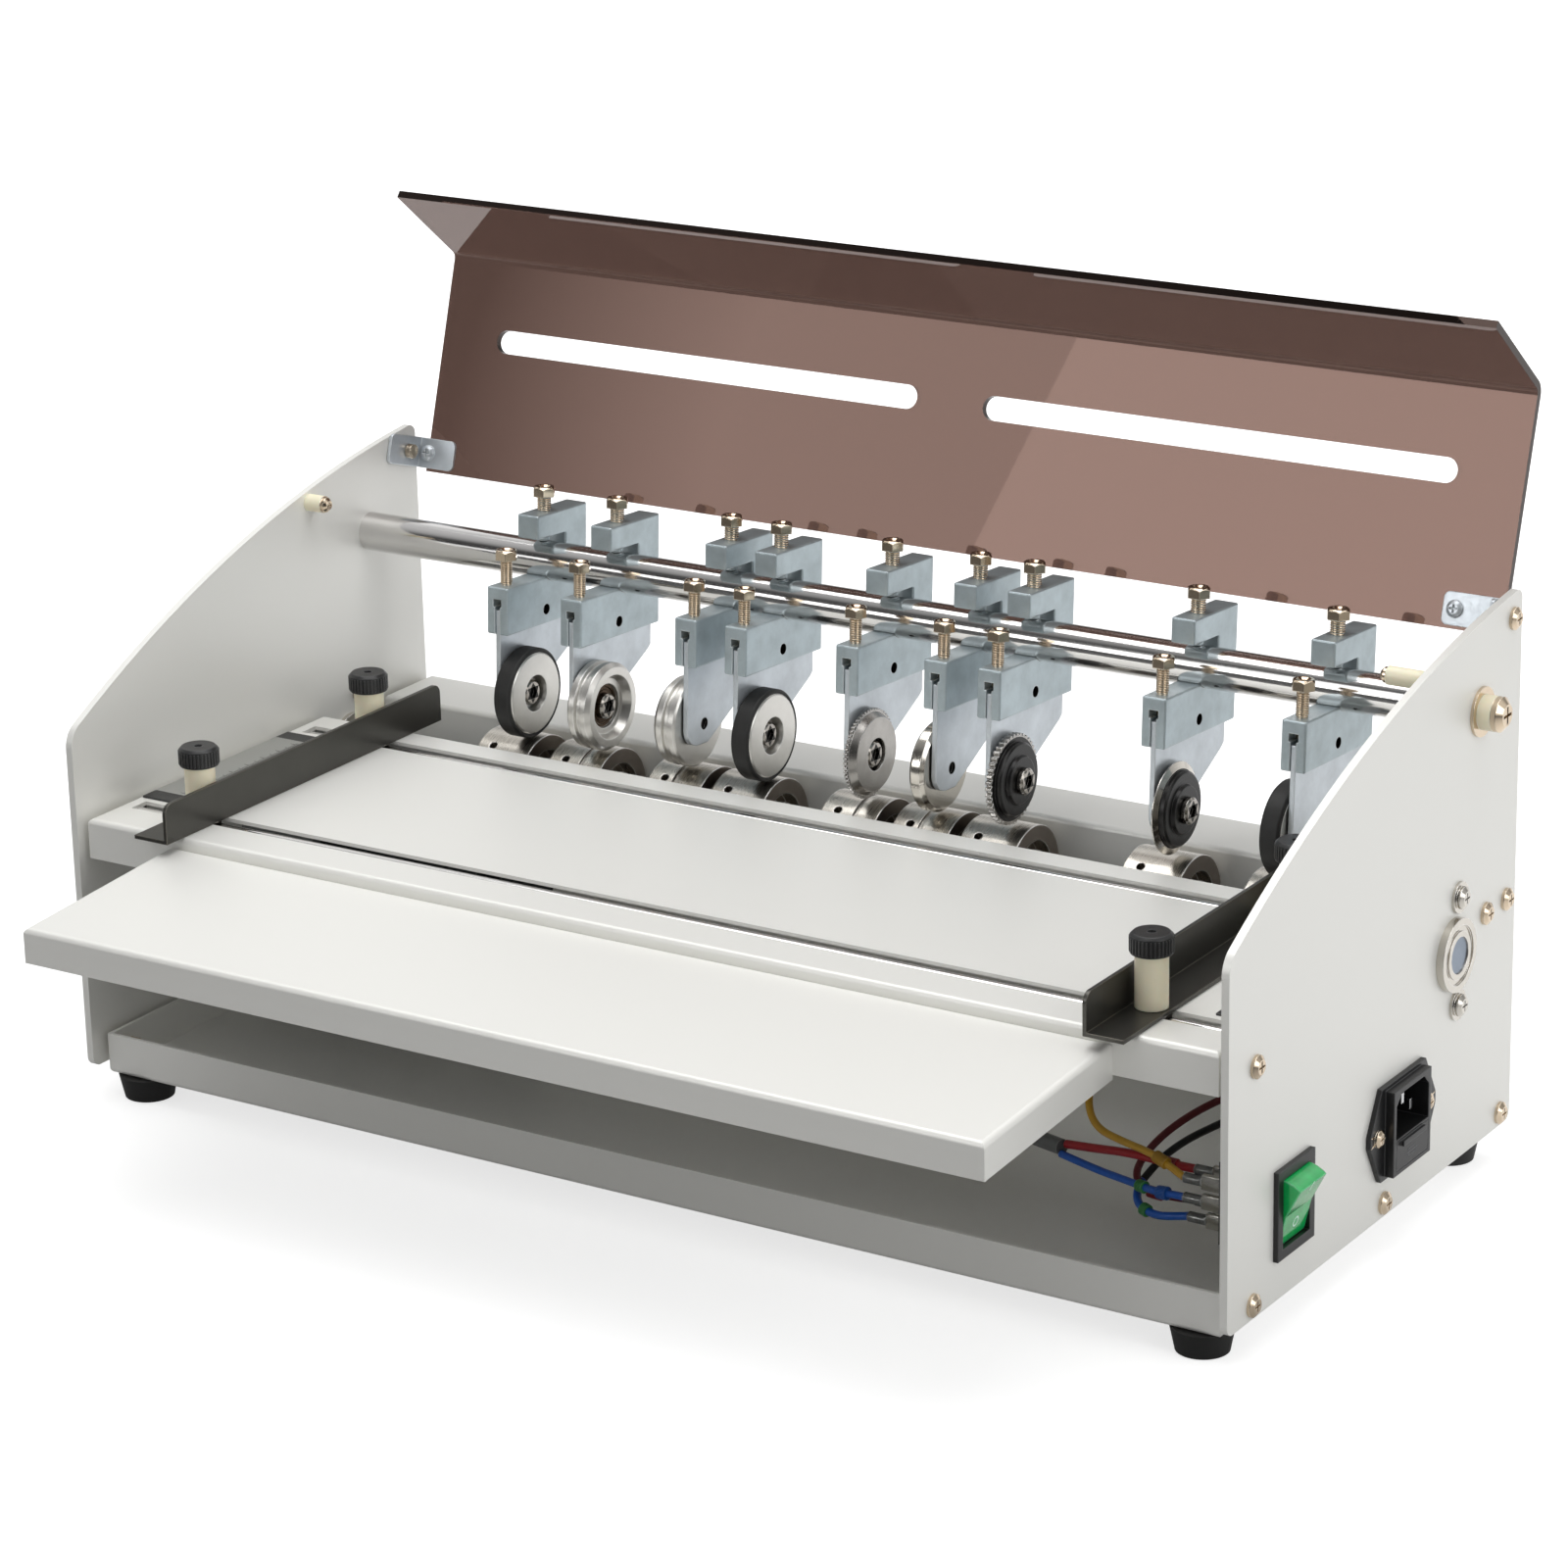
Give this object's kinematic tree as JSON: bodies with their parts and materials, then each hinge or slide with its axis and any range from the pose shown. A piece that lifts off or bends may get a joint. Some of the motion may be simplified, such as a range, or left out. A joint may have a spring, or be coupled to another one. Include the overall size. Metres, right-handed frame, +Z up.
{
  "type": "desktop paper creasing machine",
  "caption": "Desktop machine that feeds a sheet under wheels on a cross bar to crease, perforate or cut it, with side guides, a hinged smoked cover and a mains inlet.",
  "frame": {"origin": "on the supporting surface, under the middle of the machine's bounding box with the cover open", "axes": "+X to the operator's right along the cross bar, +Y to the back where the paper leaves, +Z up"},
  "size_m": [0.527, 0.3392, 0.3233],
  "materials": {
    "powder_coat": "fine powder coat, warm light grey",
    "chrome": "bright chrome",
    "nickel": "champagne nickel plating",
    "cream_plastic": "smooth cream nylon",
    "foot_rubber": "black moulded rubber",
    "bare_steel": "turned steel",
    "ruler_steel": "printed satin aluminium",
    "black_plastic": "black moulded plastic",
    "green_plastic": "translucent green plastic",
    "cable": "insulated leads in several colours",
    "satin_aluminium": "turned satin aluminium",
    "smoked_acrylic": "clear smoked brown acrylic",
    "zinc": "blue zinc plating",
    "gunmetal": "dark bronze-black paint"
  },
  "bodies": {
    "frame": {"left_side_plate": "powder_coat", "right_side_plate": "powder_coat", "base_pan": "powder_coat", "feed_table": "powder_coat", "front_table": "powder_coat", "rear_tray": "powder_coat", "drive_cover": "powder_coat", "cross_bar": "chrome", "guide_rails": "chrome", "bar_end_fittings": "nickel", "frame_screws": "nickel", "cover_rest_pegs": "cream_plastic", "rubber_feet": "foot_rubber", "shaft_bearings": "bare_steel", "gearmotor": "bare_steel", "ruler_plates": "ruler_steel", "power_inlet": "black_plastic", "power_switch": "black_plastic", "wiring": "cable"},
    "cover": {"cover_panel": "smoked_acrylic", "cover_brackets": "zinc"},
    "rocker": {"switch_rocker": "green_plastic"},
    "drawer": {"fuse_drawer": "black_plastic"},
    "roller_shaft": {"lower_shaft": "bare_steel", "driven_gear": "bare_steel", "anvil_rollers": "satin_aluminium"},
    "pinion": {"motor_pinion": "bare_steel"},
    "guide_left": {"left_guide": "gunmetal"},
    "guide_right": {"right_guide": "gunmetal"},
    "knob_left_front": {"left_front_knob": "cream_plastic"},
    "knob_left_back": {"left_back_knob": "cream_plastic"},
    "knob_right_front": {"right_front_knob": "cream_plastic"},
    "knob_right_back": {"right_back_knob": "cream_plastic"},
    "holder_body_one": {"holder_one": "zinc"},
    "arm_body_one": {"arm_one": "zinc"},
    "wheel_body_one": {"wheel_one": "satin_aluminium"},
    "holder_body_two": {"holder_two": "zinc"},
    "arm_body_two": {"arm_two": "zinc"},
    "wheel_body_two": {"wheel_two": "satin_aluminium"},
    "holder_body_three": {"holder_three": "zinc"},
    "arm_body_three": {"arm_three": "zinc"},
    "wheel_body_three": {"wheel_three": "satin_aluminium"},
    "holder_body_four": {"holder_four": "zinc"},
    "arm_body_four": {"arm_four": "zinc"},
    "wheel_body_four": {"wheel_four": "satin_aluminium"},
    "holder_body_five": {"holder_five": "zinc"},
    "arm_body_five": {"arm_five": "zinc"},
    "wheel_body_five": {"wheel_five": "satin_aluminium"},
    "holder_body_six": {"holder_six": "zinc"},
    "arm_body_six": {"arm_six": "zinc"},
    "wheel_body_six": {"wheel_six": "satin_aluminium"},
    "holder_body_seven": {"holder_seven": "zinc"},
    "arm_body_seven": {"arm_seven": "zinc"},
    "wheel_body_seven": {"wheel_seven": "satin_aluminium"},
    "holder_body_eight": {"holder_eight": "zinc"},
    "arm_body_eight": {"arm_eight": "zinc"},
    "wheel_body_eight": {"wheel_eight": "satin_aluminium"},
    "holder_body_nine": {"holder_nine": "zinc"},
    "arm_body_nine": {"arm_nine": "zinc"},
    "wheel_body_nine": {"wheel_nine": "satin_aluminium"}
  },
  "joints": [
    {"name": "cover_hinge", "type": "hinge", "parent": "frame", "child": "cover", "pos_m": [0, 0.1334, 0.2128], "axis": [1, 0, 0], "range_deg": [0, 117.5]},
    {"name": "switch_rock", "type": "hinge", "parent": "frame", "child": "rocker", "pos_m": [0.253, -0.039, 0.0461], "axis": [0, -1, 0], "range_deg": [0, 41]},
    {"name": "fuse_drawer_slide", "type": "slide", "parent": "frame", "child": "drawer", "axis": [1, 0, 0], "range_m": [0, 0.014]},
    {"name": "roller_shaft_spin", "type": "hinge", "parent": "frame", "child": "roller_shaft", "pos_m": [0, 0.0875, 0.0972], "axis": [-1, 0, 0], "continuous": true},
    {"name": "motor_spin", "type": "hinge", "parent": "frame", "child": "pinion", "pos_m": [-0.257, 0.0539, 0.072], "axis": [-1, 0, 0], "continuous": true},
    {"name": "left_guide_slide", "type": "slide", "parent": "frame", "child": "guide_left", "axis": [1, 0, 0], "range_m": [-0.0135, 0.032]},
    {"name": "right_guide_slide", "type": "slide", "parent": "frame", "child": "guide_right", "axis": [1, 0, 0], "range_m": [-0.004, 0.0135]},
    {"name": "left_front_knob_turn", "type": "hinge", "parent": "guide_left", "child": "knob_left_front", "pos_m": [-0.209, -0.06, 0.1236], "axis": [0, 0, 1], "range_deg": [0, 270]},
    {"name": "left_back_knob_turn", "type": "hinge", "parent": "guide_left", "child": "knob_left_back", "pos_m": [-0.209, 0.048, 0.1236], "axis": [0, 0, 1], "range_deg": [0, 270]},
    {"name": "right_front_knob_turn", "type": "hinge", "parent": "guide_right", "child": "knob_right_front", "pos_m": [0.209, -0.06, 0.1236], "axis": [0, 0, 1], "range_deg": [0, 270]},
    {"name": "right_back_knob_turn", "type": "hinge", "parent": "guide_right", "child": "knob_right_back", "pos_m": [0.209, 0.048, 0.1236], "axis": [0, 0, 1], "range_deg": [0, 270]},
    {"name": "holder_one_slide", "type": "slide", "parent": "frame", "child": "holder_body_one", "axis": [1, 0, 0], "range_m": [-0.034, 0.017]},
    {"name": "arm_one_swing", "type": "hinge", "parent": "holder_body_one", "child": "arm_body_one", "pos_m": [-0.162, 0.10035, 0.16598], "axis": [-1, 0, 0], "range_deg": [-2, 4]},
    {"name": "wheel_one_spin", "type": "hinge", "parent": "arm_body_one", "child": "wheel_body_one", "pos_m": [-0.162, 0.08397, 0.1356], "axis": [-1, 0, 0], "continuous": true},
    {"name": "holder_two_slide", "type": "slide", "parent": "frame", "child": "holder_body_two", "axis": [1, 0, 0], "range_m": [-0.017, 0.026]},
    {"name": "arm_two_swing", "type": "hinge", "parent": "holder_body_two", "child": "arm_body_two", "pos_m": [-0.1263, 0.10035, 0.16598], "axis": [-1, 0, 0], "range_deg": [-3.8, 4]},
    {"name": "wheel_two_spin", "type": "hinge", "parent": "arm_body_two", "child": "wheel_body_two", "pos_m": [-0.1263, 0.08397, 0.1356], "axis": [-1, 0, 0], "continuous": true},
    {"name": "holder_three_slide", "type": "slide", "parent": "frame", "child": "holder_body_three", "axis": [1, 0, 0], "range_m": [-0.026, 0.0126]},
    {"name": "arm_three_swing", "type": "hinge", "parent": "holder_body_three", "child": "arm_body_three", "pos_m": [-0.0716, 0.10035, 0.16598], "axis": [-1, 0, 0], "range_deg": [-3.8, 4]},
    {"name": "wheel_three_spin", "type": "hinge", "parent": "arm_body_three", "child": "wheel_body_three", "pos_m": [-0.0716, 0.08397, 0.1356], "axis": [-1, 0, 0], "continuous": true},
    {"name": "holder_four_slide", "type": "slide", "parent": "frame", "child": "holder_body_four", "axis": [1, 0, 0], "range_m": [-0.0126, 0.0323]},
    {"name": "arm_four_swing", "type": "hinge", "parent": "holder_body_four", "child": "arm_body_four", "pos_m": [-0.0483, 0.10035, 0.16598], "axis": [-1, 0, 0], "range_deg": [-2, 4]},
    {"name": "wheel_four_spin", "type": "hinge", "parent": "arm_body_four", "child": "wheel_body_four", "pos_m": [-0.0483, 0.08397, 0.1356], "axis": [-1, 0, 0], "continuous": true},
    {"name": "holder_five_slide", "type": "slide", "parent": "frame", "child": "holder_body_five", "axis": [1, 0, 0], "range_m": [-0.0323, 0.0168]},
    {"name": "arm_five_swing", "type": "hinge", "parent": "holder_body_five", "child": "arm_body_five", "pos_m": [0.0027, 0.10035, 0.16598], "axis": [-1, 0, 0], "range_deg": [-3.8, 4]},
    {"name": "wheel_five_spin", "type": "hinge", "parent": "arm_body_five", "child": "wheel_body_five", "pos_m": [0.0027, 0.08397, 0.1356], "axis": [-1, 0, 0], "continuous": true},
    {"name": "holder_six_slide", "type": "slide", "parent": "frame", "child": "holder_body_six", "axis": [1, 0, 0], "range_m": [-0.0168, 0.013]},
    {"name": "arm_six_swing", "type": "hinge", "parent": "holder_body_six", "child": "arm_body_six", "pos_m": [0.0422, 0.10035, 0.16598], "axis": [-1, 0, 0], "range_deg": [-3.8, 4]},
    {"name": "wheel_six_spin", "type": "hinge", "parent": "arm_body_six", "child": "wheel_body_six", "pos_m": [0.0422, 0.08397, 0.1356], "axis": [-1, 0, 0], "continuous": true},
    {"name": "holder_seven_slide", "type": "slide", "parent": "frame", "child": "holder_body_seven", "axis": [1, 0, 0], "range_m": [-0.013, 0.0548]},
    {"name": "arm_seven_swing", "type": "hinge", "parent": "holder_body_seven", "child": "arm_body_seven", "pos_m": [0.0659, 0.10035, 0.16598], "axis": [-1, 0, 0], "range_deg": [-3.8, 4]},
    {"name": "wheel_seven_spin", "type": "hinge", "parent": "arm_body_seven", "child": "wheel_body_seven", "pos_m": [0.0659, 0.08397, 0.1356], "axis": [-1, 0, 0], "continuous": true},
    {"name": "holder_eight_slide", "type": "slide", "parent": "frame", "child": "holder_body_eight", "axis": [1, 0, 0], "range_m": [-0.0548, 0.0341]},
    {"name": "arm_eight_swing", "type": "hinge", "parent": "holder_body_eight", "child": "arm_body_eight", "pos_m": [0.1364, 0.10035, 0.16598], "axis": [-1, 0, 0], "range_deg": [-3.8, 4]},
    {"name": "wheel_eight_spin", "type": "hinge", "parent": "arm_body_eight", "child": "wheel_body_eight", "pos_m": [0.1364, 0.08397, 0.1356], "axis": [-1, 0, 0], "continuous": true},
    {"name": "holder_nine_slide", "type": "slide", "parent": "frame", "child": "holder_body_nine", "axis": [1, 0, 0], "range_m": [-0.0341, 0.004]},
    {"name": "arm_nine_swing", "type": "hinge", "parent": "holder_body_nine", "child": "arm_body_nine", "pos_m": [0.1942, 0.10035, 0.16598], "axis": [-1, 0, 0], "range_deg": [-2, 4]},
    {"name": "wheel_nine_spin", "type": "hinge", "parent": "arm_body_nine", "child": "wheel_body_nine", "pos_m": [0.1942, 0.08397, 0.1356], "axis": [-1, 0, 0], "continuous": true}
  ],
  "couplings": [
    {"joint": "motor_spin", "follows": "roller_shaft_spin", "ratio": -1.8},
    {"joint": "wheel_one_spin", "follows": "roller_shaft_spin", "ratio": -1},
    {"joint": "wheel_two_spin", "follows": "roller_shaft_spin", "ratio": -1},
    {"joint": "wheel_three_spin", "follows": "roller_shaft_spin", "ratio": -1},
    {"joint": "wheel_four_spin", "follows": "roller_shaft_spin", "ratio": -1},
    {"joint": "wheel_five_spin", "follows": "roller_shaft_spin", "ratio": -1},
    {"joint": "wheel_six_spin", "follows": "roller_shaft_spin", "ratio": -1},
    {"joint": "wheel_seven_spin", "follows": "roller_shaft_spin", "ratio": -1},
    {"joint": "wheel_eight_spin", "follows": "roller_shaft_spin", "ratio": -1},
    {"joint": "wheel_nine_spin", "follows": "roller_shaft_spin", "ratio": -1}
  ]
}
